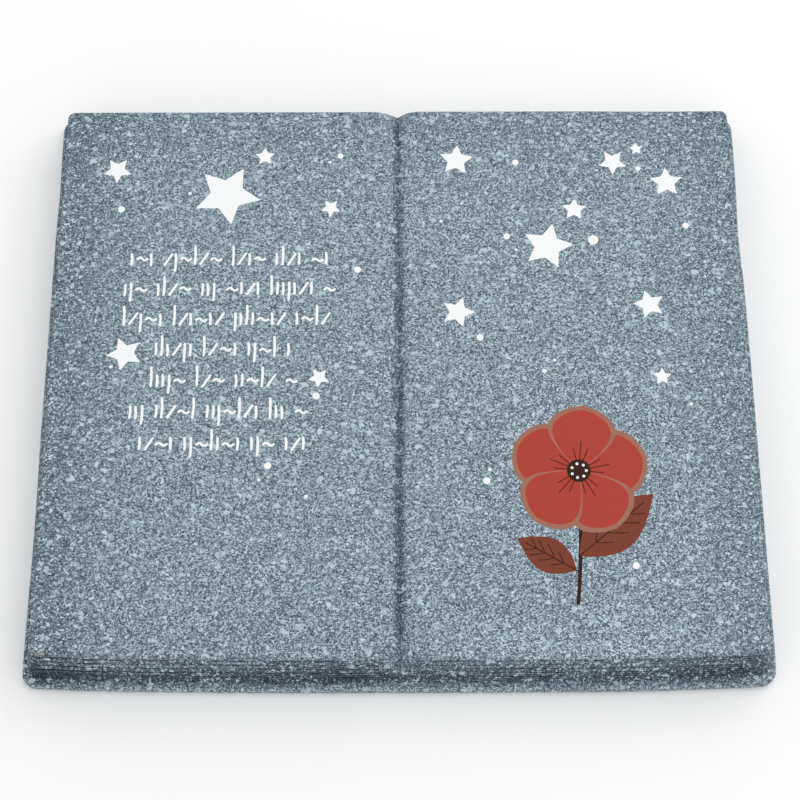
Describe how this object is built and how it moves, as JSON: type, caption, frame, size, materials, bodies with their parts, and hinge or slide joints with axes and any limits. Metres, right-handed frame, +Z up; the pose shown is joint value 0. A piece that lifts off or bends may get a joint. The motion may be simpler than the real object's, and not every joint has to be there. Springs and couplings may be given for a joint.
{
  "type": "memorial plaque",
  "caption": "Open-book memorial plaque cast in one piece, with two flat page tops, a gutter between them, fine page lines on its walls and a rounded cover below.",
  "frame": {"origin": "middle of the flat underside, on the surface that the plaque lies on", "axes": "+X across the two pages, to the viewer's right; +Y along the spine, away from the viewer; +Z up out of the pages"},
  "size_m": [0.18, 0.1564, 0.0147],
  "materials": {
    "cast_stone": "fine blue-grey speckle, half matt, with white and coloured print on the page tops"
  },
  "bodies": {
    "root": {"open_book": "cast_stone"}
  },
  "joints": []
}
